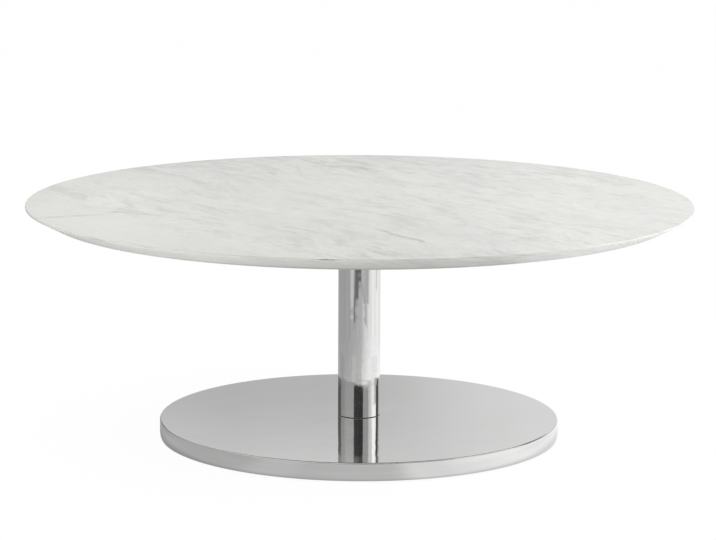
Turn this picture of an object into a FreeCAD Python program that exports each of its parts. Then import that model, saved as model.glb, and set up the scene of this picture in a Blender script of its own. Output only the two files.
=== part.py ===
import FreeCAD, Part
import math
import os

# Round cocktail table: a knife-edged stone slab on a polished column and a polished disc base.
# Millimetres, +Z up, origin on the floor under the middle of the table.

# Overall sizes
table_height = 356.0
stone_diameter = 994.0
stone_thickness = 20.0
column_diameter = 63.5
column_wall = 2.0
base_diameter = 600.0
base_height = 26.5
rim_lift = 2.0

# Edge of the stone
stone_edge_round = 1.0
stone_edge_land = 2.0
stone_land_round = 1.0
stone_bevel_inset = 33.0
stone_under_round = 1.5

# Stone fixing
plate_diameter = 420.0
plate_thickness = 6.0
plate_edge_round = 1.2
isolation_thickness = 1.5
isolation_margin = 6.0
isolation_inner_diameter = 80.0
bolt_count = 6
bolt_inset = 45.0
bolt_diameter = 8.0
bolt_hole_play = 0.5
bolt_head_flats = 13.0
bolt_head_height = 5.3
bolt_end_gap = 1.0
washer_diameter = 16.0
washer_thickness = 1.6
washer_play = 0.2
insert_diameter = 12.0
insert_length = 12.0
insert_glue_gap = 0.1
insert_hole_spare = 1.0

# Column fixing
rod_diameter = 12.0
rod_hole_play = 0.5
rod_top_gap = 2.0
rod_end_proud = 1.5
rod_end_lift = 2.0
rod_chamfer = 1.0
hub_length = 30.0
hub_neck_diameter = 36.0
hub_neck_recess = 0.5
hub_lead = 1.5
spigot_length = 12.0
spigot_boss_diameter = 40.0
spigot_lead = 1.5
plug_play = 0.15
tube_edge_round = 0.4
gasket_thickness = 0.6
gasket_inset = 0.4
tie_nut_flats = 18.0
tie_nut_height = 10.0
tie_washer_diameter = 37.0
tie_washer_thickness = 3.0
tie_recess_play = 2.0

# Base
base_crown = 3.0
landing_margin = 8.0
cover_sheet = 1.5
cover_corner_round = 2.0
cover_lip_round = 0.4
ballast_side_gap = 0.8
ballast_chamfer = 2.0
ballast_under_chamfer = 1.0

# Levelling feet
leveller_count = 4
leveller_inset = 55.0
leveller_first_angle = 45.0
pad_diameter = 32.0
pad_top_diameter = 25.0
pad_height = 6.0
pad_skirt_height = 2.5
pad_floor = 1.6
pad_edge_round = 0.8
pad_gap = 0.3
head_diameter = 14.0
head_thickness = 2.3
head_play = 0.2
neck_diameter = 7.0
collar_flats = 13.0
collar_height = 4.5
stem_diameter = 8.0
stem_seat_gap = 0.3
stem_top_gap = 0.4
stem_chamfer = 0.8

# Fits and cuts
thread_play = 0.08
cut_overrun = 1.0
hexagon_face_share = 0.95
hexagon_chamfer_degrees = 30.0

# Heights of the seats, from the floor up
rim_z = rim_lift
base_top_z = rim_z + base_height
cover_inner_z = base_top_z - cover_sheet
crown_top_z = base_top_z + base_crown
crown_inner_z = cover_inner_z + base_crown
collar_bottom_z = pad_height + pad_gap
collar_top_z = collar_bottom_z + collar_height
ballast_bottom_z = collar_top_z + stem_seat_gap
column_bottom_z = crown_top_z + gasket_thickness
stone_bottom_z = table_height - stone_thickness
plate_top_z = stone_bottom_z - isolation_thickness
plate_bottom_z = plate_top_z - plate_thickness
rod_bottom_z = rim_z + rod_end_lift
tie_nut_bottom_z = rod_bottom_z + rod_end_proud
tie_nut_top_z = tie_nut_bottom_z + tie_nut_height
tie_recess_top_z = tie_nut_top_z + tie_washer_thickness

# Radii that several pieces share
rod_radius = rod_diameter / 2
bolt_radius = bolt_diameter / 2
stem_radius = stem_diameter / 2
column_radius = column_diameter / 2
column_bore_radius = column_radius - column_wall
plug_radius = column_bore_radius - plug_play
cover_bore_radius = base_diameter / 2 - cover_sheet
landing_radius = column_radius + landing_margin

# The base's crown is an arc that runs level into the landing, so it bows a quarter of its rise
crown_bow = base_crown / 4

# Circles on which the bolts and the feet stand
bolt_circle = plate_diameter - 2 * bolt_inset
leveller_circle = base_diameter - 2 * leveller_inset


def turned(outline, bows=None):
    # Solid of revolution about Z. Each corner of the outline is (radius, height, rounding radius).
    # bows says how far the side that starts at a corner bulges to the right of its chord.
    corners = [FreeCAD.Vector(radius, 0, height) for radius, height, rounding in outline]
    ends = []
    for index, corner in enumerate(corners):
        rounding = outline[index][2]
        if rounding <= 0:
            ends.append((corner, None, corner))
            continue
        to_last = (corners[index - 1] - corner).normalize()
        to_next = (corners[(index + 1) % len(corners)] - corner).normalize()
        half_angle = to_last.getAngle(to_next) / 2
        reach = rounding / math.tan(half_angle)
        depth = rounding / math.sin(half_angle) - rounding
        middle = corner + (to_last + to_next).normalize() * depth
        ends.append((corner + to_last * reach, middle, corner + to_next * reach))
    edges = []
    for index, (start, middle, end) in enumerate(ends):
        if middle is not None:
            edges.append(Part.Arc(start, middle, end).toShape())
        far = ends[(index + 1) % len(ends)][0]
        bow = (bows or {}).get(index, 0)
        if bow == 0:
            edges.append(Part.makeLine(end, far))
            continue
        chord = far - end
        right = FreeCAD.Vector(chord.z, 0, -chord.x).normalize()
        edges.append(Part.Arc(end, (end + far) / 2 + right * bow, far).toShape())
    face = Part.Face(Part.Wire(edges))
    return face.revolve(FreeCAD.Vector(0, 0, 0), FreeCAD.Vector(0, 0, 1), 360)


def ring(inner_radius, outer_radius, bottom, top):
    return turned([
        (inner_radius, bottom, 0),
        (outer_radius, bottom, 0),
        (outer_radius, top, 0),
        (inner_radius, top, 0),
    ])


def round_bar(radius, bottom, top):
    return ring(0, radius, bottom, top)


def hexagon(flats, bottom, top, eased_bottom, eased_top):
    # Hexagon prism whose corners are turned off at the eased ends, as on bolts and nuts.
    corner_radius = flats / math.sqrt(3)
    face_radius = flats / 2 * hexagon_face_share
    drop = (corner_radius - face_radius) * math.tan(math.radians(hexagon_chamfer_degrees))
    corners = []
    for step in range(7):
        angle = math.radians(60 * step)
        corners.append(FreeCAD.Vector(corner_radius * math.cos(angle), corner_radius * math.sin(angle), bottom))
    prism = Part.Face(Part.makePolygon(corners)).extrude(FreeCAD.Vector(0, 0, top - bottom))
    blank = [(0, bottom, 0)]
    if eased_bottom:
        blank += [(face_radius, bottom, 0), (corner_radius, bottom + drop, 0)]
    else:
        blank += [(corner_radius, bottom, 0)]
    if eased_top:
        blank += [(corner_radius, top - drop, 0), (face_radius, top, 0)]
    else:
        blank += [(corner_radius, top, 0)]
    blank += [(0, top, 0)]
    return prism.common(turned(blank))


def around(shape, count, circle_diameter, first_angle):
    # Copies of a shape modelled on the Z axis, spaced evenly on a circle.
    copies = []
    for step in range(count):
        angle = first_angle + 360 * step / count
        spot = FreeCAD.Vector(circle_diameter / 2, 0, 0)
        turn = FreeCAD.Rotation(FreeCAD.Vector(0, 0, 1), angle)
        copy = shape.copy()
        copy.Placement = FreeCAD.Placement(turn.multVec(spot), turn)
        copies.append(copy)
    return copies


def at_bolts(shape):
    return around(shape, bolt_count, bolt_circle, 0)


def at_levellers(shape):
    return around(shape, leveller_count, leveller_circle, leveller_first_angle)


def make_stone_top():
    radius = stone_diameter / 2
    land_z = table_height - stone_edge_round - stone_edge_land
    slab = turned([
        (0, stone_bottom_z, 0),
        (radius - stone_bevel_inset, stone_bottom_z, stone_under_round),
        (radius, land_z, stone_land_round),
        (radius, table_height, stone_edge_round),
        (0, table_height, 0),
    ])
    hole = round_bar(
        insert_diameter / 2 + insert_glue_gap,
        stone_bottom_z - cut_overrun,
        stone_bottom_z + insert_length + insert_hole_spare,
    )
    return slab.cut(at_bolts(hole))


def make_stone_inserts():
    insert = ring(
        bolt_radius + thread_play,
        insert_diameter / 2,
        stone_bottom_z,
        stone_bottom_z + insert_length,
    )
    return Part.makeCompound(at_bolts(insert))


def make_isolation_sheet():
    sheet = ring(
        isolation_inner_diameter / 2,
        plate_diameter / 2 - isolation_margin,
        plate_top_z,
        stone_bottom_z,
    )
    hole = round_bar(bolt_radius + bolt_hole_play, plate_top_z - cut_overrun, stone_bottom_z + cut_overrun)
    return sheet.cut(at_bolts(hole))


def make_mounting_plate():
    radius = plate_diameter / 2
    neck_hole_radius = hub_neck_diameter / 2 + plug_play
    plate = turned([
        (neck_hole_radius, plate_bottom_z, 0),
        (radius, plate_bottom_z, plate_edge_round),
        (radius, plate_top_z, plate_edge_round),
        (neck_hole_radius, plate_top_z, 0),
    ])
    hole = round_bar(bolt_radius + bolt_hole_play, plate_bottom_z - cut_overrun, plate_top_z + cut_overrun)
    return plate.cut(at_bolts(hole))


def make_top_washers():
    washer = ring(
        bolt_radius + washer_play,
        washer_diameter / 2,
        plate_bottom_z - washer_thickness,
        plate_bottom_z,
    )
    return Part.makeCompound(at_bolts(washer))


def make_top_bolts():
    seat_z = plate_bottom_z - washer_thickness
    head = hexagon(bolt_head_flats, seat_z - bolt_head_height, seat_z, True, False)
    shank_top_z = stone_bottom_z + insert_length - bolt_end_gap
    shank = round_bar(bolt_radius, seat_z, shank_top_z)
    return Part.makeCompound(at_bolts(head.fuse(shank).removeSplitter()))


def make_upper_hub():
    neck_radius = hub_neck_diameter / 2
    bore_radius = rod_radius + thread_play
    hub_bottom_z = plate_bottom_z - hub_length
    neck_top_z = plate_top_z - hub_neck_recess
    return turned([
        (bore_radius, hub_bottom_z, 0),
        (plug_radius - hub_lead, hub_bottom_z, 0),
        (plug_radius, hub_bottom_z + hub_lead, 0),
        (plug_radius, plate_bottom_z, 0),
        (neck_radius, plate_bottom_z, 0),
        (neck_radius, neck_top_z, 0),
        (bore_radius, neck_top_z, 0),
    ])


def make_column_tube():
    return turned([
        (column_bore_radius, column_bottom_z, 0),
        (column_radius, column_bottom_z, tube_edge_round),
        (column_radius, plate_bottom_z, tube_edge_round),
        (column_bore_radius, plate_bottom_z, 0),
    ])


def make_foot_gasket():
    return ring(column_bore_radius, column_radius - gasket_inset, crown_top_z, column_bottom_z)


def make_lower_spigot():
    boss_radius = spigot_boss_diameter / 2
    bore_radius = rod_radius + rod_hole_play
    spigot_top_z = crown_top_z + spigot_length
    return turned([
        (bore_radius, crown_inner_z, 0),
        (boss_radius, crown_inner_z, 0),
        (boss_radius, crown_top_z, 0),
        (plug_radius, crown_top_z, 0),
        (plug_radius, spigot_top_z - spigot_lead, 0),
        (plug_radius - spigot_lead, spigot_top_z, 0),
        (bore_radius, spigot_top_z, 0),
    ])


def make_tie_rod():
    rod_top_z = plate_top_z - rod_top_gap
    return turned([
        (0, rod_bottom_z, 0),
        (rod_radius - rod_chamfer, rod_bottom_z, 0),
        (rod_radius, rod_bottom_z + rod_chamfer, 0),
        (rod_radius, rod_top_z - rod_chamfer, 0),
        (rod_radius - rod_chamfer, rod_top_z, 0),
        (0, rod_top_z, 0),
    ])


def make_tie_nut():
    nut = hexagon(tie_nut_flats, tie_nut_bottom_z, tie_nut_top_z, True, True)
    bore = round_bar(rod_radius + thread_play, tie_nut_bottom_z - cut_overrun, tie_nut_top_z + cut_overrun)
    return nut.cut(bore)


def make_tie_washer():
    return ring(rod_radius + rod_hole_play, tie_washer_diameter / 2, tie_nut_top_z, tie_recess_top_z)


def make_base_cover():
    radius = base_diameter / 2
    hole_radius = spigot_boss_diameter / 2 + plug_play
    inner_round = max(cover_corner_round - cover_sheet, 0)
    outline = [
        (hole_radius, crown_inner_z, 0),
        (landing_radius, crown_inner_z, 0),
        (cover_bore_radius, cover_inner_z, inner_round),
        (cover_bore_radius, rim_z, cover_lip_round),
        (radius, rim_z, cover_lip_round),
        (radius, base_top_z, cover_corner_round),
        (landing_radius, crown_top_z, 0),
        (hole_radius, crown_top_z, 0),
    ]
    return turned(outline, {1: -crown_bow, 5: crown_bow})


def make_ballast_plate():
    radius = cover_bore_radius - ballast_side_gap
    rod_hole_radius = rod_radius + rod_hole_play
    recess_radius = tie_washer_diameter / 2 + tie_recess_play
    outline = [
        (rod_hole_radius, tie_recess_top_z, 0),
        (recess_radius, tie_recess_top_z, 0),
        (recess_radius, ballast_bottom_z, 0),
        (radius - ballast_under_chamfer, ballast_bottom_z, 0),
        (radius, ballast_bottom_z + ballast_under_chamfer, 0),
        (radius, cover_inner_z - ballast_chamfer, 0),
        (radius - ballast_chamfer, cover_inner_z, 0),
        (landing_radius, crown_inner_z, 0),
        (rod_hole_radius, crown_inner_z, 0),
    ]
    thread = round_bar(stem_radius + thread_play, ballast_bottom_z - cut_overrun, cover_inner_z)
    return turned(outline, {6: crown_bow}).cut(at_levellers(thread))


def make_leveller_pad():
    # Moulded pad: a tapered puck with a flat pocket that traps the screw's head.
    radius = pad_diameter / 2
    mouth_radius = neck_diameter / 2 + head_play
    pocket_radius = head_diameter / 2 + head_play
    pocket_top_z = pad_floor + head_thickness + 2 * head_play
    return turned([
        (0, 0, 0),
        (radius, 0, pad_edge_round),
        (radius, pad_skirt_height, pad_edge_round),
        (pad_top_diameter / 2, pad_height, pad_edge_round),
        (mouth_radius, pad_height, 0),
        (mouth_radius, pocket_top_z, 0),
        (pocket_radius, pocket_top_z, 0),
        (pocket_radius, pad_floor, 0),
        (0, pad_floor, 0),
    ])


def make_leveller_stem():
    # Screw: flat head in the pad's pocket, neck, hexagon collar and threaded stem.
    head_bottom_z = pad_floor + head_play
    head_top_z = head_bottom_z + head_thickness
    stem_top_z = cover_inner_z - stem_top_gap
    head = round_bar(head_diameter / 2, head_bottom_z, head_top_z)
    neck = round_bar(neck_diameter / 2, head_top_z, collar_bottom_z)
    collar = hexagon(collar_flats, collar_bottom_z, collar_top_z, True, True)
    stem = turned([
        (0, collar_top_z, 0),
        (stem_radius, collar_top_z, 0),
        (stem_radius, stem_top_z - stem_chamfer, 0),
        (stem_radius - stem_chamfer, stem_top_z, 0),
        (0, stem_top_z, 0),
    ])
    return head.fuse([neck, collar, stem]).removeSplitter()


nodes = {
    "stone_top": make_stone_top(),
    "stone_inserts": make_stone_inserts(),
    "isolation_sheet": make_isolation_sheet(),
    "mounting_plate": make_mounting_plate(),
    "top_washers": make_top_washers(),
    "top_bolts": make_top_bolts(),
    "upper_hub": make_upper_hub(),
    "column_tube": make_column_tube(),
    "foot_gasket": make_foot_gasket(),
    "lower_spigot": make_lower_spigot(),
    "tie_rod": make_tie_rod(),
    "tie_nut": make_tie_nut(),
    "tie_washer": make_tie_washer(),
    "base_cover": make_base_cover(),
    "ballast_plate": make_ballast_plate(),
}
for number, pad in enumerate(at_levellers(make_leveller_pad()), start=1):
    nodes[f"leveller_pad_{number}"] = pad
for number, stem in enumerate(at_levellers(make_leveller_stem()), start=1):
    nodes[f"leveller_stem_{number}"] = stem

os.makedirs("parts", exist_ok=True)
for name, shape in nodes.items():
    shape.exportStep(f"parts/{name}.step")
    print(name, len(shape.Solids), "solids,", round(shape.Volume / 1000, 2), "cm3, valid", shape.isValid())
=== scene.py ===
import math

import bpy
import numpy as np
from mathutils import Matrix, Vector


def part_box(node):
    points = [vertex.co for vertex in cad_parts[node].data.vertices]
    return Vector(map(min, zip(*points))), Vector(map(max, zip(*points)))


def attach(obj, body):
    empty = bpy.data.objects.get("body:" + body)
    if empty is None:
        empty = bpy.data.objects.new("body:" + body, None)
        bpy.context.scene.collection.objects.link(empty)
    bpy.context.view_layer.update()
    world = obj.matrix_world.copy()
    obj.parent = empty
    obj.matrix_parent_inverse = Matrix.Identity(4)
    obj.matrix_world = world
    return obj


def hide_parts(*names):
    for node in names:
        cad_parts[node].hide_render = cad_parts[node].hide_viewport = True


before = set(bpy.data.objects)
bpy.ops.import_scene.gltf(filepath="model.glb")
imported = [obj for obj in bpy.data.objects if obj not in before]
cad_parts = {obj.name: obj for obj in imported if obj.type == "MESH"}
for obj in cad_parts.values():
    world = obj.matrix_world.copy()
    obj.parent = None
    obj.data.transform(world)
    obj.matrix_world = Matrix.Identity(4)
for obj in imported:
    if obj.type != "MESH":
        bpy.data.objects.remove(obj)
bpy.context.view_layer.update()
scene = bpy.context.scene
scene.view_settings.view_transform = "Standard"
print("frame loaded:", len(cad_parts), "nodes")

# Below these, points are the same, a direction is none and a ring is a pole.
tolerance = {"same": 1e-8, "none": 1e-12, "pole": 1e-9}
# Edges sharper than this stay sharp.
sharpAngle = math.radians(34)
# Arc steps and guards of small pieces.
smallSteps = {"arcSteps": 5, "guard": 0.0001}
padSteps = {"arcSteps": 6, "guard": 0.0001}
# Noise swings about this level.
noiseMiddle = 0.5


# A corner (radius, height, rounding) becomes the arc that touches both of its sides. The arc runs from one
# touching point to the other by equal angles, and a guard point on each side keeps flat faces flat. A side
# shorter than a few guards has none.
def roundedProfile(corners, closed=False, arcSteps=12, guard=0.0003, leastGuards=3):
    corner = np.array(corners, dtype=float)
    spot, rounding = corner[:, :2], corner[:, 2:]
    back = np.roll(spot, 1, axis=0) - spot
    ahead = np.roll(spot, -1, axis=0) - spot
    back /= np.linalg.norm(back, axis=1, keepdims=True)
    ahead /= np.linalg.norm(ahead, axis=1, keepdims=True)
    half = np.arccos(np.clip((back * ahead).sum(1, keepdims=True), -1, 1)) / 2
    middle = back + ahead
    middle /= np.linalg.norm(middle, axis=1, keepdims=True) + tolerance["none"]
    centre = spot + middle * rounding / np.sin(half)
    start = spot + back * rounding / np.tan(half)
    end = spot + ahead * rounding / np.tan(half)
    sweep = np.pi - 2 * half[:, :, None]
    share = np.linspace(0, 1, arcSteps + 1)[None, :, None]
    fromStart = np.sin((1 - share) * sweep) * (start - centre)[:, None]
    fromEnd = np.sin(share * sweep) * (end - centre)[:, None]
    arc = centre[:, None] + (fromStart + fromEnd) / np.sin(sweep)
    arc = np.where(rounding[:, :, None] > 0, arc, spot[:, None])
    nextStart = np.roll(start, -1, axis=0)
    short = np.linalg.norm(nextStart - end, axis=1, keepdims=True) < leastGuards * guard
    leave = np.where(short, end, end + ahead * guard)
    arrive = np.where(short, end, nextStart - ahead * guard)
    line = np.concatenate((arc, leave[:, None], arrive[:, None]), axis=1).reshape(-1, 2)
    if not closed:
        line = line[:-2]
    keep = np.linalg.norm(np.diff(line, axis=0, prepend=line[:1] - 1), axis=1) > tolerance["same"]
    return line[keep]


# Closed profile of a ring between two radii and two heights.
def ringProfile(hole, rim, bottom, top, holeRound, rimRound, **steps):
    return roundedProfile([
        (hole, bottom, holeRound),
        (rim, bottom, rimRound),
        (rim, top, rimRound),
        (hole, top, holeRound),
    ], closed=True, **steps)


# Crown on a flat-topped profile: z rises by crown (1 - u^2), u from 0 at the landing to 1 at the edge, and by less
# down the wall. Points are first spread along the profile, a little apart from its own, so that the crown is smooth.
def crownedProfile(profile, landing, crown, fullZ, rings, apart):
    steps = np.linalg.norm(np.diff(profile, axis=0), axis=1)
    length = np.concatenate(((0,), np.cumsum(steps)))
    spread = np.linspace(0, length[-1], rings)
    spread = spread[np.abs(spread[:, None] - length[None]).min(1) > apart]
    place = np.sort(np.concatenate((length, spread)))
    radius, height = (np.interp(place, length, profile[:, k]) for k in (0, 1))
    u = np.clip((radius - landing) / (radius.max() - landing), 0, 1)
    share = np.clip((height - height.min()) / (fullZ - height.min()), 0, 1)
    return np.stack((radius, height + crown * (1 - u * u) * share), -1)


# Radii on a grid of heights and angles, carried round Z: x = r cos a, y = r sin a. A first or last row
# of radius zero closes to one point, and a closed skin joins its last row to its first.
def skinShape(radius, height, closed=False):
    rows, turns = radius.shape
    angle = np.arange(turns) * 2 * np.pi / turns
    heights = np.broadcast_to(height[:, None], radius.shape)
    points = np.stack((radius * np.cos(angle), radius * np.sin(angle), heights), -1)
    index = np.arange(rows * turns).reshape(rows, turns)
    low, high = (index, np.roll(index, -1, axis=0)) if closed else (index[:-1], index[1:])
    faces = np.stack((low, np.roll(low, -1, axis=1), np.roll(high, -1, axis=1), high), -1)
    poles = [] if closed else [row for row in (0, rows - 1) if radius[row].max() < tolerance["pole"]]
    fans = []
    for row in poles:
        near = index[1] if row == 0 else index[row - 1]
        fan = np.stack((np.full(turns, index[row, 0]), np.roll(near, -1), near), -1)
        fans.append(fan if row == 0 else fan[:, ::-1])
    faces = faces[int(0 in poles):len(faces) - int(rows - 1 in poles)].reshape(-1, 4)
    fans = np.concatenate(fans) if fans else np.zeros((0, 3), dtype=int)
    return tidyShape(points.reshape(-1, 3), faces, fans)


# Drops unused points, and turns all faces round if the volume that they enclose comes out negative.
def tidyShape(points, quads, fans):
    used = np.unique(np.concatenate((quads.ravel(), fans.ravel())))
    place = np.zeros(len(points), dtype=int)
    place[used] = np.arange(len(used))
    points, quads, fans = points[used], place[quads], place[fans]
    pieces = np.concatenate((quads[:, (0, 1, 2)], quads[:, (0, 2, 3)], fans))
    a, b, c = (points[pieces[:, k]] for k in range(3))
    if (a * np.cross(b, c)).sum() < 0:
        quads, fans = quads[:, ::-1], fans[:, ::-1]
    return points, quads, fans


# Profile of (radius, height) points carried round Z.
def turnedShape(profile, turns, closed=False):
    return skinShape(np.repeat(profile[:, :1], turns, axis=1), profile[:, 1], closed)


# Hexagon bar: at each height the outline is the smaller of the hexagon and the circle of a cone that eases
# one end or both. The cone leaves a round face, a share of the flats. The bore, if any, is a closed inner wall.
hexagonForm = {"columns": 72, "rows": 9, "faceShare": 0.95, "coneDegrees": 30}


def hexagonShape(flats, bottom, top, bore=0.0, easeTop=True):
    columns, slope = hexagonForm["columns"], math.tan(math.radians(hexagonForm["coneDegrees"]))
    angle = np.arange(columns) * 2 * np.pi / columns
    hexagon = flats / 2 / np.cos(np.mod(angle, np.pi / 3) - np.pi / 6)
    face, corner = flats / 2 * hexagonForm["faceShare"], flats / math.sqrt(3)
    ease = np.linspace(0, (corner - face) * slope, hexagonForm["rows"])
    height = np.concatenate((bottom + ease, top - ease[::-1]))
    low = face + (height - bottom) / slope
    high = face + (top - height) / slope if easeTop else np.full(len(height), corner)
    radius = np.minimum(hexagon[None], np.minimum(low, high)[:, None])
    inner = np.full((1, columns), bore)
    radius = np.concatenate((inner, radius, inner))
    height = np.concatenate(((bottom,), height, (top,)))
    return skinShape(radius, height, closed=bore > 0)


# Screw thread: the radius is a flattened wave of (height / pitch - angle / turn), and both ends are turned
# down by 45 degree cones. Depth and end are shares of the pitch.
threadForm = {"steep": 1.6, "root": 0.3, "depth": 0.61, "end": 0.75}


def threadShape(major, pitch, bottom, top, columns=40, perPitch=10):
    rows = int(round((top - bottom) / pitch * perPitch)) + 1
    height = np.linspace(bottom, top, rows)
    angle = np.arange(columns) / columns
    phase = np.mod(height[:, None] / pitch - angle[None], 1)
    wave = np.clip(threadForm["steep"] * np.abs(2 * phase - 1) - threadForm["root"], 0, 1)
    radius = major - threadForm["depth"] * pitch * (1 - wave)
    cone = major - threadForm["end"] * pitch + np.minimum(height - bottom, top - height)
    radius = np.minimum(radius, cone[:, None])
    pole = np.zeros((1, columns))
    radius = np.concatenate((pole, radius, pole))
    height = np.concatenate(((bottom,), height, (top,)))
    return skinShape(radius, height)


def turnAbout(shape, angle, reach):
    points, quads, fans = shape
    c, s = math.cos(angle), math.sin(angle)
    turned = (points + (reach, 0, 0)) @ np.array(((c, s, 0), (-s, c, 0), (0, 0, 1)))
    return turned, quads, fans


def joinShapes(shapes):
    starts = np.cumsum([0] + [len(shape[0]) for shape in shapes])
    points = np.concatenate([shape[0] for shape in shapes])
    quads, fans = (np.concatenate([shape[k] + start for shape, start in zip(shapes, starts)]) for k in (1, 2))
    return points, quads, fans


def makePiece(name, shape, finish, body, node):
    points, quads, fans = shape
    mesh = bpy.data.meshes.new(name)
    mesh.from_pydata(points.tolist(), [], quads.tolist() + fans.tolist())
    mesh.polygons.foreach_set("use_smooth", np.ones(len(mesh.polygons), dtype=bool))
    mesh.set_sharp_from_angle(angle=sharpAngle)
    mesh.materials.append(finish.holder)
    piece = bpy.data.objects.new(name, mesh)
    scene.collection.objects.link(piece)
    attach(piece, body)
    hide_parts(node)


# A piece of the stage, hidden from the kinds of ray that are named.
def makeStage(name, points, faces, finish, unseen=()):
    mesh = bpy.data.meshes.new(name)
    mesh.from_pydata(points, [], faces)
    mesh.materials.append(finish.holder)
    made = bpy.data.objects.new(name, mesh)
    scene.collection.objects.link(made)
    for kind in unseen:
        setattr(made, "visible_" + kind, False)


# One number on its way through a shader: operators add Math nodes.
class Wire:
    def __init__(self, finish, socket):
        self.finish = finish
        self.socket = socket

    def maths(self, operation, *terms):
        return self.finish.node("ShaderNodeMath", {"operation": operation}, dict(enumerate(terms)))

    def size(self):
        return self.maths("ABSOLUTE", self)

    def __add__(self, other):
        return self.maths("ADD", self, other)

    def __radd__(self, other):
        return self.maths("ADD", other, self)

    def __sub__(self, other):
        return self.maths("SUBTRACT", self, other)

    def __rsub__(self, other):
        return self.maths("SUBTRACT", other, self)

    def __mul__(self, other):
        return self.maths("MULTIPLY", self, other)

    def __rmul__(self, other):
        return self.maths("MULTIPLY", other, self)

    def __truediv__(self, other):
        return self.maths("DIVIDE", self, other)

    def __pow__(self, other):
        return self.maths("POWER", self, other)


# A material, or the sky, and the few ways its nodes are added. A noise is (scale, detail, roughness), and a fade
# is the pair of values between which a step goes from 0 to 1.
class Finish:
    def __init__(self, holder):
        self.holder = holder
        holder.use_nodes = True
        self.tree = holder.node_tree
        self.tree.nodes.clear()

    def node(self, kind, settings, sockets, out=0):
        made = self.tree.nodes.new(kind)
        for key, value in settings.items():
            if key == "stops":
                ramp = made.color_ramp.elements
                while len(ramp) < len(value):
                    ramp.new(0.5)
                for stop, (place, colour) in zip(ramp, value):
                    stop.position = place
                    stop.color = tuple(colour) + (1,)
            else:
                setattr(made, key, value)
        for key, value in sockets.items():
            if isinstance(value, Wire):
                self.tree.links.new(value.socket, made.inputs[key])
            else:
                made.inputs[key].default_value = value
        if isinstance(out, tuple):
            return tuple(Wire(self, made.outputs[one]) for one in out)
        return Wire(self, made.outputs[out]) if len(made.outputs) else None

    def place(self, stretch=(1, 1, 1)):
        spot = self.node("ShaderNodeTexCoord", {}, {}, "Object")
        return self.node("ShaderNodeMapping", {}, {"Vector": spot, "Scale": stretch})

    def axes(self, spot):
        return self.node("ShaderNodeSeparateXYZ", {}, {0: spot}, (0, 1, 2))

    def noise(self, spot, scale, detail, rough):
        sockets = {"Vector": spot, "Scale": scale, "Detail": detail, "Roughness": rough}
        return self.node("ShaderNodeTexNoise", {}, sockets)

    def step(self, value, low, high):
        settings = {"interpolation_type": "SMOOTHSTEP"}
        return self.node("ShaderNodeMapRange", settings, {0: value, 1: low, 2: high, 3: 0.0, 4: 1.0})

    def patches(self, spot, noise, fade):
        return self.step(self.noise(spot, *noise), *fade)

    def mix(self, share, first, second):
        return self.node("ShaderNodeMix", {"data_type": "RGBA"}, {0: share, 6: first, 7: second}, 2)

    def bump(self, height, strength, distance):
        return self.node("ShaderNodeBump", {}, {"Height": height, "Strength": strength, "Distance": distance})

    # 1 for what the camera sees by itself, in a mirror or through glass, and 0 for light on other things.
    def seen(self):
        kinds = ("Is Camera Ray", "Is Glossy Ray", "Is Transmission Ray")
        camera, glossy, through = self.node("ShaderNodeLightPath", {}, {}, kinds)
        return camera.maths("MINIMUM", camera + glossy + through, 1.0)

    def surface(self, **sockets):
        named = {key.replace("_", " "): value for key, value in sockets.items()}
        shader = self.node("ShaderNodeBsdfPrincipled", {}, named)
        self.node("ShaderNodeOutputMaterial", {}, {"Surface": shader})
        return self


def grey(level):
    return (level, level, level, 1)


# A value that goes from the least to 1 where the other goes from 0 to 1.
def atLeast(least, value):
    return least + (1 - least) * value


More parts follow.
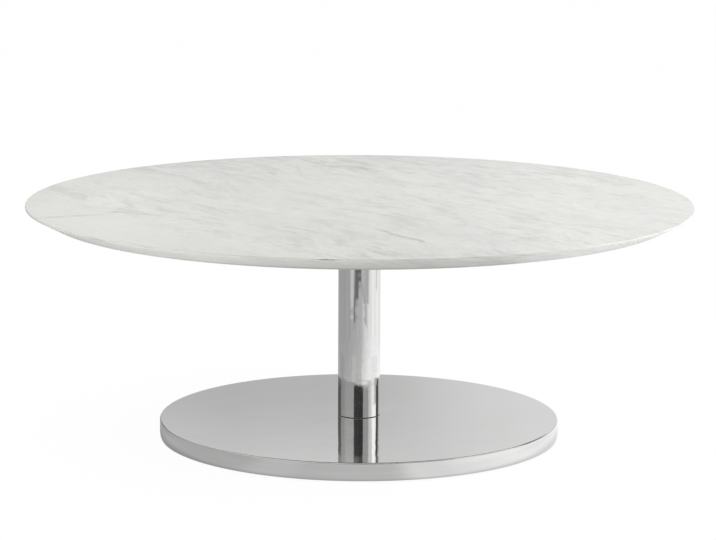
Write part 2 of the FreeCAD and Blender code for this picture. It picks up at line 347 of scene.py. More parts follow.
# Stone: pale ground, soft cloud, grey streaks along the bed, fine fibres, a few drawn veins, one of them a painted
# dark reflection on the front arris, and painted shade on the bevel and the underside.
stoneLook = {
    "ground": (0.87, 0.875, 0.83, 1),
    "cloud": (0.78, 0.79, 0.755, 1),
    "streak": (0.50, 0.515, 0.49, 1),
    "vein": (0.24, 0.25, 0.24, 1),
    "strike": math.radians(-57),
    "dip": math.radians(8),
    "dipStretch": 1.2,
    "top": 0.356,
    "calmSide": (-0.80, 0.60),
    "noises": {
        "wander": (2.6, 3.0, 0.5),
        "flutter": (24.0, 3.0, 0.6),
        "fray": (110.0, 3.0, 0.6),
        "broken": (34.0, 3.0, 0.6),
        "grains": (210.0, 3.0, 0.65),
        "worn": (9.0, 3.0, 0.5),
    },
    "beds": {
        # scale along and across the bed, detail, roughness
        "cloud": (1.6, 4.5, 4.0, 0.55),
        "streaks": (11.0, 32.0, 5.0, 0.70),
        "fibres": (28.0, 84.0, 4.0, 0.68),
        "patches": (3.2, 8.0, 3.0, 0.5),
        "ridge": (3.0, 13.0, 4.0, 0.55),
    },
    "fades": {
        # levels of noise, then places in metres, or in square metres
        "cloud": (0.34, 0.66), "streaks": (0.44, 0.68), "fibres": (0.42, 0.66), "patches": (0.38, 0.64),
        "ridge": (0.0, 0.03), "broken": (0.32, 0.60), "grains": (0.45, 0.75),
        "calm": (0.30, 0.44), "calmZ": (0.3535, 0.3555), "right": (0.05, 0.42), "front": (0.20, 0.40),
        "ends": (0.03, 0.12), "bevelZ": (0.3530, 0.3555), "bevelRight": (0.10, 0.30),
        # fades of the painted shade down the bevel and on the underside, and how it thins to the sides
        "bevelShadeZ": (0.3375, 0.3535), "undersideShadeZ": (0.3376, 0.3398), "undersideShadeSides": (0.004, 0.10),
    },
    "amounts": {
        "wander": 0.026, "flutter": 0.003, "busyCalm": 0.65, "busyEnds": 0.5, "busyFront": 0.25,
        "bevelRight": 0.7, "bevel": 0.5, "cloud": 0.68, "cloudFront": 0.20, "cloudCalm": 0.45,
        "streaks": 0.24, "streaksPatches": 0.24, "streaksRight": 0.40,
        "fibres": 0.15, "fibresStreaks": 0.16, "fibresRight": 0.15, "thread": 0.20,
        # the last three are the strengths of the painted shade on the bevel and the underside
        "veinBroken": 0.25, "veinFibres": 0.55, "grains": 0.10, "bevelShade": 0.30, "undersideShade": 0.85, "undersideShadeSides": 0.7,
    },
    "rough": 0.17, "roughWorn": 0.08, "roughStreaks": 0.05, "bump": (0.03, 0.0002), "ior": 1.45, "specular": 0.35,
    "veins": (
        # start x, y, end x, y on the top in metres, half width, strength, wobble
        (-0.490, -0.178, -0.345, -0.1215, 0.0062, 0.50, 0.020),
        (-0.372, -0.1095, -0.336, -0.1125, 0.0042, 0.95, 0.006),
        (-0.009, -0.198, 0.127, -0.424, 0.0046, 0.56, 0.020),
        (-0.400, -0.3185, -0.350, -0.3730, 0.0055, 0.80, 0.004),
        # not a vein: a painted dark reflection, a thin dark dash along the front arris left of the middle
        (-0.066, -0.4985, -0.028, -0.4997, 0.0024, 2.2, 0.001),
        (0.030, 0.250, 0.110, 0.120, 0.0090, 0.16, 0.012),
        (-0.290, 0.060, -0.215, -0.070, 0.0090, 0.12, 0.012),
        (-0.220, -0.486, -0.010, -0.512, 0.0090, 0.14, 0.012),
    ),
}
# Where a drawn vein begins and ends, in shares of its length, its least width, its frayed share and its soft side.
veinForm = {"begin": (-0.10, 0.45), "end": (0.50, 1.10), "least": 0.25, "fray": 0.6, "soft": 2.2}


# A drawn vein fades with the distance from a line through two points. It is widest at its middle and tapers to
# both ends, and its sides are frayed.
def drawnVein(finish, x, y, flutter, fray, vein):
    x0, y0, x1, y1, width, strength, wobble = vein
    length = math.hypot(x1 - x0, y1 - y0)
    ux, uy = (x1 - x0) / length, (y1 - y0) / length
    along = (x - x0) * ux + (y - y0) * uy
    across = (y - y0) * ux - (x - x0) * uy + flutter * wobble + fray * (wobble * veinForm["fray"])
    begin, end = (finish.step(along, *(share * length for share in veinForm[part])) for part in ("begin", "end"))
    taper = begin * (1 - end)
    across = across.size() / atLeast(veinForm["least"], taper)
    return taper * (1 - finish.step(across, 0.0, width * veinForm["soft"])) * strength


def makeStoneFinish(look):
    finish = Finish(bpy.data.materials.new("veined_stone"))
    plain = finish.place()
    strike, dip, amount = look["strike"], look["dip"], look["amounts"]

    def noise(name):
        return finish.noise(plain, *look["noises"][name])

    def fade(name, value):
        return finish.step(value, *look["fades"][name])

    wander, flutter, fray = (noise(name) - noiseMiddle for name in ("wander", "flutter", "fray"))
    x, y, z = finish.axes(plain)

    # The beds are planes that dip a little: s runs along them, d down the dip and n across, from bed to bed.
    s = x * math.cos(strike) + y * math.sin(strike)
    d = y * math.cos(strike) - x * math.sin(strike)
    n = d * math.sin(dip) + z * math.cos(dip) + wander * amount["wander"] + flutter * amount["flutter"]

    def bed(name):
        along, across, detail, rough = look["beds"][name]
        sockets = {0: s * along, 1: d * (look["dipStretch"] * along), 2: n * (across / math.sin(dip))}
        return finish.noise(finish.node("ShaderNodeCombineXYZ", {}, sockets), 1.0, detail, rough)

    cloud, streaks, fibres, patches = (fade(name, bed(name)) for name in ("cloud", "streaks", "fibres", "patches"))
    ridge = bed("ridge") - noiseMiddle
    thread = (1 - fade("ridge", ridge.size())) * patches

    # Drawn veins go down with the dip too, from their line on the top.
    depth = (z - look["top"]) / math.tan(dip)
    topX, topY = x - depth * math.sin(strike), y + depth * math.cos(strike)
    drawn = 0.0
    for vein in look["veins"]:
        drawn = drawnVein(finish, topX, topY, flutter, fray, vein) + drawn
    broken, grains = fade("broken", noise("broken")), noise("grains")
    drawn = drawn * atLeast(amount["veinBroken"], broken) * atLeast(amount["veinFibres"], fibres)

    # The left front of the top is calm, its back and front are busier, and the bevel is calmer but for its right,
    # where the extra streaks are partly the stone's own and partly painted shade that darkens it.
    calm = fade("calm", x * look["calmSide"][0] - y * look["calmSide"][1]) * fade("calmZ", z)
    right, front = fade("right", x), fade("front", y * -1.0)
    ends = 1 + amount["busyEnds"] * fade("ends", y * y) - amount["busyFront"] * front
    bevel = (1 - fade("bevelZ", z)) * (amount["bevelRight"] * fade("bevelRight", x) - amount["bevel"])
    busy = (1 - amount["busyCalm"] * calm) * ends * (1 + bevel)

    cloudy = cloud * (amount["cloud"] + amount["cloudFront"] * front - amount["cloudCalm"] * calm)
    streaky = streaks * (amount["streaks"] + amount["streaksPatches"] * patches)
    streaky = streaky * busy * (1 - amount["streaksRight"] * right)
    fibrous = fibres * (amount["fibres"] + amount["fibresStreaks"] * streaks)
    fibrous = fibrous * busy * (1 + amount["fibresRight"] * right)
    colour = finish.mix(cloudy, look["ground"], look["cloud"])
    colour = finish.mix(streaky, colour, look["streak"])
    colour = finish.mix(fibrous, colour, look["streak"])
    colour = finish.mix(thread * amount["thread"] * busy, colour, look["streak"])
    colour = finish.mix(drawn, colour, look["vein"])
    colour = finish.mix(fade("grains", grains) * amount["grains"], colour, look["streak"])

    # Painted shade: the bevel is darkened downwards, and its lower edge and the underside get a plain grey painted
    # shade, most of all in the middle.
    colour = finish.mix((1 - fade("bevelShadeZ", z)) * amount["bevelShade"], colour, look["streak"])
    undersideShade = (1 - fade("undersideShadeZ", z)) * (1 - amount["undersideShadeSides"] * fade("undersideShadeSides", x * x))
    colour = finish.mix(undersideShade * amount["undersideShade"], colour, look["streak"])
    return finish.surface(
        Base_Color=colour,
        Roughness=look["rough"] + look["roughWorn"] * noise("worn") + look["roughStreaks"] * streaks,
        Normal=finish.bump(grains, *look["bump"]),
        IOR=look["ior"],
        Specular_IOR_Level=look["specular"],
    )


# Mirror metal: polishing lines too fine to see singly, faint smears and a very slight waviness.
mirrorLook = {
    "colour": (0.77, 0.77, 0.765, 1), "smear": (0.73, 0.73, 0.72, 1), "smearShare": 0.6,
    "smears": ((6.5, 4.0, 0.6), (0.48, 0.78)), "dust": ((330.0, 2.0, 0.5), (0.62, 0.80)), "hair": (1.0, 3.0, 0.6),
    "rough": 0.035, "roughSmear": 0.03, "roughHair": 0.015, "roughDust": 0.03, "bump": 1.0,
}
columnPolish = {"lines": (40, 40, 2600), "sway": (22.0, 2.0, 0.45), "wave": 0.0007}
basePolish = {"lines": (900, 900, 900), "sway": (13.0, 2.0, 0.45), "wave": 0.0004}


def makeMirrorFinish(look, name, polish):
    finish = Finish(bpy.data.materials.new(name))
    plain = finish.place()
    smear = finish.patches(plain, *look["smears"])
    dust = finish.patches(plain, *look["dust"])
    hair = finish.noise(finish.place(polish["lines"]), *look["hair"])
    sway = finish.noise(plain, *polish["sway"])
    rough = look["rough"] + look["roughSmear"] * smear + look["roughHair"] * hair + look["roughDust"] * dust
    return finish.surface(
        Base_Color=finish.mix(smear * look["smearShare"], look["colour"], look["smear"]),
        Metallic=1.0,
        Roughness=rough,
        Normal=finish.bump(sway, look["bump"], polish["wave"]),
    )


# Satin paint over steel: a pebbled skin, with dustier and shinier places.
paintLook = {
    "deep": (0.018, 0.018, 0.019, 1), "dusty": (0.042, 0.042, 0.043, 1),
    "pebble": (900.0, 2.0, 0.5), "dust": ((14.0, 4.0, 0.6), (0.35, 0.72)),
    "rough": 0.36, "roughDust": 0.16, "bump": (0.35, 0.0002),
}


def makePaintFinish(look):
    finish = Finish(bpy.data.materials.new("satin_paint"))
    plain = finish.place()
    pebble = finish.noise(plain, *look["pebble"])
    dust = finish.patches(plain, *look["dust"])
    return finish.surface(
        Base_Color=finish.mix(dust, look["deep"], look["dusty"]),
        Roughness=look["rough"] + look["roughDust"] * dust,
        Normal=finish.bump(pebble, *look["bump"]),
    )


# Zinc plating: blue-grey metal with cloudy spangle and fine drawn marks.
zincLook = {
    "bright": (0.66, 0.68, 0.71, 1), "dull": (0.45, 0.46, 0.48, 1), "yellow": (0.62, 0.60, 0.52, 1),
    "spangle": ((260.0, 4.0, 0.6), (0.36, 0.68)), "stain": ((70.0, 3.0, 0.5), (0.52, 0.74)), "stainShare": 0.5,
    "marks": (1500.0, 2.0, 0.5), "rough": 0.26, "roughSpangle": 0.16, "bump": (0.12, 0.0001),
}


def makeZincFinish(look):
    finish = Finish(bpy.data.materials.new("zinc_plating"))
    plain = finish.place()
    spangle = finish.patches(plain, *look["spangle"])
    stain = finish.patches(plain, *look["stain"])
    colour = finish.mix(spangle, look["bright"], look["dull"])
    return finish.surface(
        Base_Color=finish.mix(stain * look["stainShare"], colour, look["yellow"]),
        Metallic=1.0,
        Roughness=look["rough"] + look["roughSpangle"] * spangle,
        Normal=finish.bump(finish.noise(plain, *look["marks"]), *look["bump"]),
    )


# Turned metal: fine rings left by the tool, which stand at even heights.
steelLook = {"bright": (0.50, 0.50, 0.51, 1), "dark": (0.34, 0.34, 0.35, 1)}
brassLook = {"bright": (0.72, 0.53, 0.24, 1), "dark": (0.50, 0.35, 0.14, 1)}
turnedLook = {
    "lines": (20, 20, 4200), "rings": (1.0, 2.0, 0.5), "stain": ((45.0, 4.0, 0.6), (0.42, 0.72)),
    "rough": 0.28, "roughRings": 0.14, "bump": (0.2, 0.0001),
}


def makeTurnedFinish(look, name, colours):
    finish = Finish(bpy.data.materials.new(name))
    plain = finish.place()
    rings = finish.noise(finish.place(look["lines"]), *look["rings"])
    stain = finish.patches(plain, *look["stain"])
    return finish.surface(
        Base_Color=finish.mix(stain, colours["bright"], colours["dark"]),
        Metallic=1.0,
        Roughness=look["rough"] + look["roughRings"] * rings,
        Normal=finish.bump(rings, *look["bump"]),
    )


# Rubber and moulded nylon: matt black with a grained skin.
rubberLook = {
    "deep": (0.020, 0.020, 0.020, 1), "chalky": (0.055, 0.055, 0.054, 1), "grain": (700.0, 3.0, 0.6), "rough": 0.66,
}
nylonLook = {
    "deep": (0.026, 0.026, 0.028, 1), "chalky": (0.060, 0.060, 0.063, 1), "grain": (1800.0, 3.0, 0.6), "rough": 0.44,
}
mouldedLook = {"chalk": ((55.0, 4.0, 0.6), (0.40, 0.75)), "roughChalk": 0.14, "bump": (0.3, 0.0002)}


def makeMouldedFinish(look, name, skin):
    finish = Finish(bpy.data.materials.new(name))
    plain = finish.place()
    grain = finish.noise(plain, *skin["grain"])
    chalk = finish.patches(plain, *look["chalk"])
    return finish.surface(
        Base_Color=finish.mix(chalk, skin["deep"], skin["chalky"]),
        Roughness=skin["rough"] + look["roughChalk"] * chalk,
        Normal=finish.bump(grain, *look["bump"]),
    )


stoneFinish = makeStoneFinish(stoneLook)
columnMirror = makeMirrorFinish(mirrorLook, "mirror_column", columnPolish)
baseMirror = makeMirrorFinish(mirrorLook, "mirror_base", basePolish)
blackPaint = makePaintFinish(paintLook)
zinc = makeZincFinish(zincLook)
turnedSteel = makeTurnedFinish(turnedLook, "turned_steel", steelLook)
brass = makeTurnedFinish(turnedLook, "turned_brass", brassLook)
rubber = makeMouldedFinish(mouldedLook, "black_rubber", rubberLook)
nylon = makeMouldedFinish(mouldedLook, "black_nylon", nylonLook)
print("finishes made:", len(bpy.data.materials))

# Stone top: flat above, knife edge below.
stone = {
    "edgeRound": 0.001, "edgeLand": 0.002, "landRound": 0.001, "bevelInset": 0.033, "underRound": 0.0015, "turns": 360,
}
low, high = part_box("stone_top")
landZ = high.z - stone["edgeRound"] - stone["edgeLand"]
profile = roundedProfile([
    (0, low.z, 0),
    (high.x - stone["bevelInset"], low.z, stone["underRound"]),
    (high.x, landZ, stone["landRound"]),
    (high.x, high.z, stone["edgeRound"]),
    (0, high.z, 0),
])
makePiece("stoneTop", turnedShape(profile, stone["turns"]), stoneFinish, "table", "stone_top")

# Column: polished tube, eased at both ends.
column = {"wall": 0.002, "edgeRound": 0.0004, "boreRound": 0.0002, "turns": 256}
low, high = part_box("column_tube")
profile = ringProfile(high.x - column["wall"], high.x, low.z, high.z, column["boreRound"], column["edgeRound"])
shape = turnedShape(profile, column["turns"], closed=True)
makePiece("columnTube", shape, columnMirror, "table", "column_tube")

# Base: pressed shell with a slight crown, a rounded upper corner and an eased lip.
cover = {
    "sheet": 0.0015, "crown": 0.003, "landing": 0.03975, "cornerRound": 0.002, "lipRound": 0.0004,
    "hole": 0.02015, "holeRound": 0.0002, "rings": 80, "apart": 0.001, "turns": 360,
}
low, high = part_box("base_cover")
edgeZ, innerR = high.z - cover["crown"], high.x - cover["sheet"]
innerZ = edgeZ - cover["sheet"]
profile = roundedProfile([
    (cover["hole"], innerZ, cover["holeRound"]),
    (innerR, innerZ, cover["cornerRound"] - cover["sheet"]),
    (innerR, low.z, cover["lipRound"]),
    (high.x, low.z, cover["lipRound"]),
    (high.x, edgeZ, cover["cornerRound"]),
    (cover["hole"], edgeZ, cover["holeRound"]),
], closed=True)
profile = crownedProfile(profile, cover["landing"], cover["crown"], innerZ, cover["rings"], cover["apart"])
shape = turnedShape(profile, cover["turns"], closed=True)
makePiece("baseCover", shape, baseMirror, "table", "base_cover")
print("main pieces made")

# Mounting plate under the stone.
plate = {"edgeRound": 0.0012, "hole": 0.01815, "holeRound": 0.0003, "turns": 256}
low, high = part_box("mounting_plate")
profile = ringProfile(plate["hole"], high.x, low.z, high.z, plate["holeRound"], plate["edgeRound"])
shape = turnedShape(profile, plate["turns"], closed=True)
makePiece("mountingPlate", shape, blackPaint, "table", "mounting_plate")


def washerShape(look, node):
    low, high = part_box(node)
    edge = look["edgeRound"]
    profile = ringProfile(look["hole"], look["radius"], low.z, high.z, edge, edge, **smallSteps)
    return turnedShape(profile, look["turns"], closed=True)


# Bolts and washers that hold the plate to the stone.
bolt = {"count": 6, "radius": 0.165, "flats": 0.013, "headHeight": 0.0053, "major": 0.004, "pitch": 0.00125}
washer = {"radius": 0.008, "hole": 0.0042, "edgeRound": 0.0002, "turns": 72}
boltTurns = [2 * math.pi * step / bolt["count"] for step in range(bolt["count"])]
oneWasher = washerShape(washer, "top_washers")
washers = joinShapes([turnAbout(oneWasher, angle, bolt["radius"]) for angle in boltTurns])
makePiece("topWashers", washers, zinc, "table", "top_washers")
low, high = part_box("top_bolts")
seatZ = low.z + bolt["headHeight"]
oneBolt = joinShapes([
    hexagonShape(bolt["flats"], low.z, seatZ, easeTop=False),
    threadShape(bolt["major"], bolt["pitch"], seatZ, high.z),
])
bolts = joinShapes([turnAbout(oneBolt, angle, bolt["radius"]) for angle in boltTurns])
makePiece("topBolts", bolts, zinc, "table", "top_bolts")

# Tie rod with its nut and washer under the ballast.
tie = {"major": 0.006, "pitch": 0.00175, "columns": 32, "perPitch": 8, "flats": 0.018, "nutPlay": 0.00008}
tieWasher = {"radius": 0.0185, "hole": 0.0065, "edgeRound": 0.0003, "turns": 96}
low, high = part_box("tie_rod")
shape = threadShape(tie["major"], tie["pitch"], low.z, high.z, tie["columns"], tie["perPitch"])
makePiece("tieRod", shape, zinc, "table", "tie_rod")
low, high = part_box("tie_nut")
shape = hexagonShape(tie["flats"], low.z, high.z, bore=tie["major"] + tie["nutPlay"])
makePiece("tieNut", shape, zinc, "table", "tie_nut")
makePiece("tieWasher", washerShape(tieWasher, "tie_washer"), zinc, "table", "tie_washer")

# Levelling feet: fluted nylon pads with a ringed sole, and screws with a captive head and a hexagon collar.
pad = {
    "count": 4, "topRadius": 0.0125, "skirt": 0.0025, "edgeRound": 0.0008, "mouth": 0.0037, "mouthRound": 0.0003,
    "pocket": 0.0072, "pocketTop": 0.0043, "pocketRound": 0.0001, "floor": 0.0016, "floorRound": 0.0002,
    "grooves": (0.0060, 0.0095, 0.0130), "grooveWidth": 0.0012, "grooveDepth": 0.0005,
    "grooveRound": 0.0002, "grooveLip": 0.0001,
    "flutes": 40, "fluteDepth": 0.0003, "fluteFrom": 0.0150, "fluteFade": 0.0008, "turns": 240,
}
screw = {
    "head": 0.007, "headBottom": 0.0018, "headTop": 0.0041, "neck": 0.0035, "collarBottom": 0.0063,
    "collarTop": 0.0108, "flats": 0.013, "major": 0.004, "pitch": 0.00125, "edgeRound": 0.0002, "turns": 72,
}


# Sole profile with rings cut into it, then the puck and its pocket. Flutes press the skirt in by half a
# cosine, only near the outer radius.
def makePadShape():
    low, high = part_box("leveller_pad_1")
    radius = (high.x - low.x) / 2
    sole = [(0, 0, 0)]
    for middle in pad["grooves"]:
        inside, outside = middle - pad["grooveWidth"] / 2, middle + pad["grooveWidth"] / 2
        sole += [
            (inside, 0, pad["grooveLip"]),
            (inside, pad["grooveDepth"], pad["grooveRound"]),
            (outside, pad["grooveDepth"], pad["grooveRound"]),
            (outside, 0, pad["grooveLip"]),
        ]
    profile = roundedProfile(sole + [
        (radius, 0, pad["edgeRound"]),
        (radius, pad["skirt"], pad["edgeRound"]),
        (pad["topRadius"], high.z, pad["edgeRound"]),
        (pad["mouth"], high.z, pad["mouthRound"]),
        (pad["mouth"], pad["pocketTop"], pad["pocketRound"]),
        (pad["pocket"], pad["pocketTop"], pad["pocketRound"]),
        (pad["pocket"], pad["floor"], pad["floorRound"]),
        (0, pad["floor"], 0),
    ], **padSteps)
    angle = np.arange(pad["turns"]) * 2 * np.pi / pad["turns"]
    outer = np.clip((profile[:, :1] - pad["fluteFrom"]) / pad["fluteFade"], 0, 1)
    flute = pad["fluteDepth"] * (1 - np.cos(pad["flutes"] * angle)) / 2
    return skinShape(profile[:, :1] - outer * flute[None], profile[:, 1])


def makeScrewShape():
    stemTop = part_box("leveller_stem_1")[1].z
    profile = roundedProfile([
        (0, screw["headBottom"], 0),
        (screw["head"], screw["headBottom"], screw["edgeRound"]),
        (screw["head"], screw["headTop"], screw["edgeRound"]),
        (screw["neck"], screw["headTop"], screw["edgeRound"]),
        (screw["neck"], screw["collarBottom"], 0),
        (0, screw["collarBottom"], 0),
    ], **smallSteps)
    return joinShapes([
        turnedShape(profile, screw["turns"]),
        hexagonShape(screw["flats"], screw["collarBottom"], screw["collarTop"]),
        threadShape(screw["major"], screw["pitch"], screw["collarTop"], stemTop),
    ])


padShape, screwShape = makePadShape(), makeScrewShape()
for number in range(1, pad["count"] + 1):
    padNode, stemNode = f"leveller_pad_{number}", f"leveller_stem_{number}"
    low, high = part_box(padNode)
    middle = (low + high) / 2
    reach, angle = math.hypot(middle.x, middle.y), math.atan2(middle.y, middle.x)
    shape = turnAbout(padShape, angle, reach)
    makePiece(f"levellerPad_{number}", shape, nylon, f"pad_{number}", padNode)
    shape = turnAbout(screwShape, angle, reach)
    makePiece(f"levellerScrew_{number}", shape, zinc, f"screw_{number}", stemNode)
print("hardware made")

# Finishes of the nodes whose CAD shape stays.
carried = {
    "stone_inserts": brass,
    "isolation_sheet": rubber,
    "upper_hub": turnedSteel,
    "foot_gasket": rubber,
    "lower_spigot": turnedSteel,
    "ballast_plate": blackPaint,
}
for name, finish in carried.items():
    slots = bpy.data.objects[name].data.materials
    slots.clear()
    slots.append(finish.holder)

# Floor: pale and matt, and clear from below. To the camera, mirrors and glass it is mostly plain white, and keeps
# part of its shadow.
floor = {"reach": 40.0, "drop": 0.0004, "colour": grey(0.94), "plain": 0.93, "glow": 1.025}


def makeFloor():
    finish = Finish(bpy.data.materials.new("pale_floor"))
    seen = finish.seen()
    matt = finish.node("ShaderNodeBsdfDiffuse", {}, {"Color": floor["colour"]})
    white = finish.node("ShaderNodeEmission", {}, {"Color": grey(1.0), "Strength": floor["glow"]})
    both = finish.node("ShaderNodeMixShader", {}, {0: seen * floor["plain"], 1: matt, 2: white})
    below = finish.node("ShaderNodeNewGeometry", {}, {}, "Backfacing")
    clear = finish.node("ShaderNodeBsdfTransparent", {}, {"Color": grey(1.0)})
    shown = finish.node("ShaderNodeMixShader", {}, {0: below, 1: both, 2: clear})
    finish.node("ShaderNodeOutputMaterial", {}, {"Surface": shown})
    reach, z = floor["reach"], -floor["drop"]
    corners = [(-reach, -reach, z), (reach, -reach, z), (reach, reach, z), (-reach, reach, z)]
    makeStage("floor", corners, [(0, 1, 2, 3)], finish)


makeFloor()

# Studio seen only in reflections: a wide bowl, floor and wall in one sweep. Its tone goes round with the azimuth
# (0 towards the camera, right positive), and soft-edged cards stand in it. A card lies from one distance to
# another along the sweep: distance out on the floor, then up the wall. A later card covers an earlier one.
studio = {
    "inner": 0.303, "wallRadius": 4.0, "sweepRadius": 0.9, "height": 3.4, "lift": 0.0002, "guard": 0.01, "turns": 96,
    "unseen": ("camera", "diffuse", "shadow", "transmission"),
    "round": (
        (-180, 0.61), (-178.5, 0.59), (-175, 0.56), (-172.5, 0.585), (-170.5, 0.61), (-168, 0.57), (-158, 0.43),
        (-150, 0.415), (-60, 0.43), (10, 0.54), (32, 0.80), (75, 1.03), (120, 1.05), (137, 0.94), (160, 0.94),
        (172.5, 0.925), (174, 0.90), (176.3, 0.81), (178, 0.70), (180, 0.59),
    ),
    "cards": (
        # azimuth, half width, softness in degrees, from, fade, to in metres, tone, lean in degrees per metre
        (-104, 18, 20, 0.30, 0.02, 0.62, 0.365, 0),
        (-28, 8, 10, 0.30, 0.02, 0.62, 0.54, 0),
        (22, 6, 8, 0.30, 0.02, 0.62, 0.75, 0),
        (90, 28, 20, 0.30, 0.02, 0.62, 0.90, 0),
        (-40, 9, 14, 0.95, 0.12, 3.6, 0.67, 0),
        (35, 18, 18, 0.98, 0.12, 3.6, 0.51, 0),
        (-7, 17, 11, 1.20, 0.30, 3.6, 0.15, 0),
        (-14, 9, 8, 1.00, 0.16, 1.45, 0.18, 0),
        (-26, 4, 7, 0.88, 0.10, 1.36, 0.20, 6),
        (44, 5, 9, 0.86, 0.10, 1.34, 0.46, -70),
        (106, 6, 6, 1.15, 0.14, 3.2, 0.74, 0),
        (-70, 34, 24, 4.62, 0.05, 9.0, 0.49, 0),
        (-97, 14, 20, 4.62, 0.05, 9.0, 0.385, 0),
        (-139, 25, 12, 4.62, 0.05, 5.3, 0.13, 0),
        (-2, 26, 6, 4.62, 0.05, 5.4, 0.055, 0),
        (38, 15, 8, 4.62, 0.05, 5.6, 0.50, 0),
        (25, 32, 16, 5.5, 0.30, 9.0, 0.10, 0),
        # at the right: dim low down, plain above, and two bright cards before the plain one
        (90, 20, 14, 4.17, 0.10, 4.54, 0.20, 0),
        (90, 16, 8, 4.58, 0.05, 9.0, 0.70, 0),
        (82, 12, 8, 4.58, 0.05, 5.00, 1.38, 0),
        (91, 14, 8, 4.82, 0.04, 5.50, 1.60, 0),
        (120, 13, 6, 4.62, 0.05, 5.4, 0.10, 0),
        (146, 14, 10, 4.62, 0.05, 5.4, 0.74, 0),
        (136, 24, 14, 5.5, 0.30, 9.0, 0.15, 0),
    ),
    "cardEnd": (0.97, 1.03),
    # tones over 1 are kept as shares of this
    "brightest": 2.0,
    # where the wall dims and glows, in metres, then how much at the left and how that changes to the right
    "right": (-0.10, 0.30), "wall": (0.10, 0.60), "above": (0.72, 1.5),
    "wallDim": (0.081, 0.079), "aboveGlow": (0.343, 0.293),
    # glow of the floor near the base, and the dim line where they meet
    "near": (0.45, 0.80), "nearGlow": 0.13, "contact": (0.307, 0.326), "contactDim": 0.25,
    # streaks: scale round and outwards, each with its change near the base, and where they are weaker
    "streak": 0.75, "streakNoise": (1.0, 3.0, 0.6), "streakRound": (0.22, 0.20), "streakOut": (0.5, 30.0),
    "streakNear": 0.6, "behind": (158, 168), "streakBehind": 0.85,
}


def makeStudio():
    finish = Finish(bpy.data.materials.new("studio_tones"))
    x, y, z = finish.axes(finish.node("ShaderNodeTexCoord", {}, {}, "Object"))
    reach = (x * x + y * y) ** 0.5
    azimuth = x.maths("ARCTAN2", x, y * -1.0) * (180 / math.pi)
    brightest = studio["brightest"]
    stops = [((place + 180) / 360, (tone / brightest,) * 3) for place, tone in studio["round"]]
    tone = finish.node("ShaderNodeValToRGB", {"stops": stops}, {0: azimuth / 360 + 0.5})
    for middle, half, soft, start, fade, end, level, lean in studio["cards"]:
        away = azimuth - middle - (reach + z - start) * lean
        inside = 1 - finish.step(away.size(), half - soft / 2, half + soft / 2)
        ending = finish.step(reach + z, *(end * share for share in studio["cardEnd"]))
        along = finish.step(reach + z, start, start + fade) * (1 - ending)
        tone = finish.mix(inside * along, tone, grey(level / brightest))

    wall, right, above = (finish.step(*pair) for pair in (
        (z, *studio["wall"]), (x, *studio["right"]), (z, *studio["above"])))
    dim, dimRight = studio["wallDim"]
    glow, glowRight = studio["aboveGlow"]
    rise = 1 - (dim + dimRight * right) * wall + (glow - glowRight * right) * above
    near = 1 - finish.step(reach, *studio["near"])
    contact = 1 - finish.step(reach, *studio["contact"])
    rise = rise * (1 + studio["nearGlow"] * near) * (1 - studio["contactDim"] * contact)

    turn, turnNear = studio["streakRound"]
    out, outNear = studio["streakOut"]
    sockets = {0: azimuth * (turn - turnNear * near), 1: reach * (out + outNear * near)}
    lines = finish.node("ShaderNodeCombineXYZ", {}, sockets)
    behind = finish.step(azimuth.size(), *studio["behind"])
    streak = studio["streak"] * (1 - studio["streakNear"] * near) * (1 - studio["streakBehind"] * behind)
    rise = rise * (1 + streak * (finish.noise(lines, *studio["streakNoise"]) - noiseMiddle))
    light = finish.node("ShaderNodeEmission", {}, {"Color": tone, "Strength": brightest * rise})
    finish.node("ShaderNodeOutputMaterial", {}, {"Surface": light})

    profile = roundedProfile([
        (studio["inner"], studio["lift"], 0),
        (studio["wallRadius"], studio["lift"], studio["sweepRadius"]),
        (studio["wallRadius"], studio["height"], 0),
    ], guard=studio["guard"])
    points, quads, fans = turnedShape(profile, studio["turns"])
    makeStage("studioBowl", points.tolist(), quads.tolist() + fans.tolist(), finish, studio["unseen"])


makeStudio()

# Sky: soft light, dimmer low down and brighter low at the right. The camera, mirrors and glass see plain white.
sky = {
    "light": 0.69, "seen": 1.0, "low": (0.10, 0.50), "rightwards": (0.97, 0.25),
    "dim": -0.90, "dimFade": (0.1, 0.7), "right": 0.15, "rightFade": (0.5, 0.95),
}


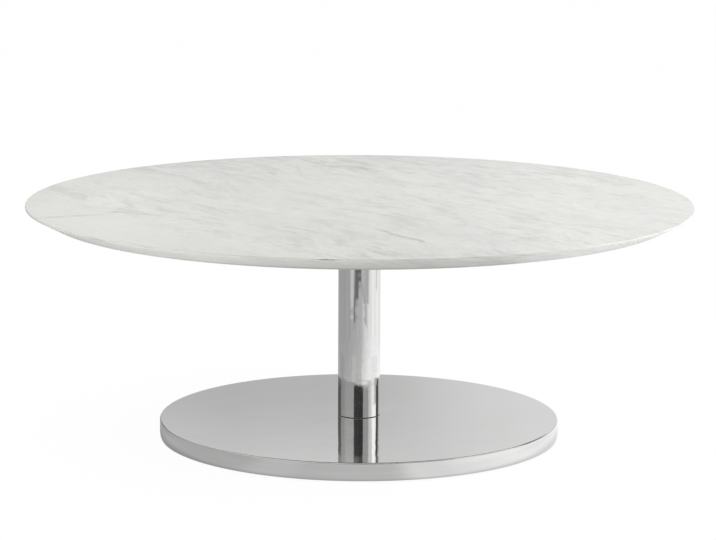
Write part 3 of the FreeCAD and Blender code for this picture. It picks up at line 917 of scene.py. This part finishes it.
def makeSky():
    finish = Finish(bpy.data.worlds.new("studio_sky"))
    seen = finish.seen()
    x, y, z = finish.axes(finish.node("ShaderNodeTexCoord", {}, {}, "Generated"))
    low = 1 - finish.step(z, *sky["low"])
    side = x * sky["rightwards"][0] - y * sky["rightwards"][1]
    dim = sky["dim"] * (1 - finish.step(side, *sky["dimFade"]))
    tilt = 1 + low * (dim + sky["right"] * finish.step(side, *sky["rightFade"]))
    strength = sky["light"] * tilt * (1 - seen) + sky["seen"] * seen
    light = finish.node("ShaderNodeBackground", {}, {"Color": grey(1.0), "Strength": strength})
    finish.node("ShaderNodeOutputWorld", {}, {"Surface": light})
    scene.world = finish.holder


makeSky()

# Lamps: a low key at the right that catches the edge, soft fills over the left and the back, and one on the floor.
lamps = {
    "keyRight": {"spot": (1.35, -0.30, 0.86), "aim": (0.35, -0.1, 0.35), "size": 0.4, "watts": 7.4},
    "keyLeft": {"spot": (-0.66, -0.12, 1.15), "aim": (-0.55, -0.1, 0.35), "size": 0.5, "watts": 1.9},
    "keyBack": {"spot": (0.0, 0.60, 1.20), "aim": (0.0, 0.45, 0.35), "size": 0.6, "watts": 1.1},
    "floorLeft": {"spot": (-0.80, -0.92, 0.01), "aim": (-0.80, -0.91, 1.0), "size": 0.8, "watts": 4.1},
}
for name, lamp in lamps.items():
    light = bpy.data.lights.new(name, "AREA")
    light.size = lamp["size"]
    light.energy = lamp["watts"]
    holder = bpy.data.objects.new(name, light)
    scene.collection.objects.link(holder)
    holder.location = lamp["spot"]
    holder.rotation_euler = (Vector(lamp["aim"]) - Vector(lamp["spot"])).to_track_quat("-Z", "Y").to_euler()
    holder.visible_camera = False
    holder.visible_glossy = False

# Camera: fitted to the outlines of the top, the column and the base.
view = {"spot": (0.0, -4.470, 1.0567), "down": 10.203, "roll": 0.2835, "yaw": 0.030, "lens": 152.4, "sensor": 36.0}
camera = bpy.data.cameras.new("camera")
camera.sensor_fit = "HORIZONTAL"
camera.sensor_width = view["sensor"]
camera.lens = view["lens"]
cameraHolder = bpy.data.objects.new("camera", camera)
scene.collection.objects.link(cameraHolder)
cameraHolder.matrix_world = (
    Matrix.Translation(view["spot"])
    @ Matrix.Rotation(math.radians(view["yaw"]), 4, "Z")
    @ Matrix.Rotation(math.radians(90 - view["down"]), 4, "X")
    @ Matrix.Rotation(math.radians(view["roll"]), 4, "Z")
)
scene.camera = cameraHolder
print("stage, lamps and camera made")

bpy.context.view_layer.update()
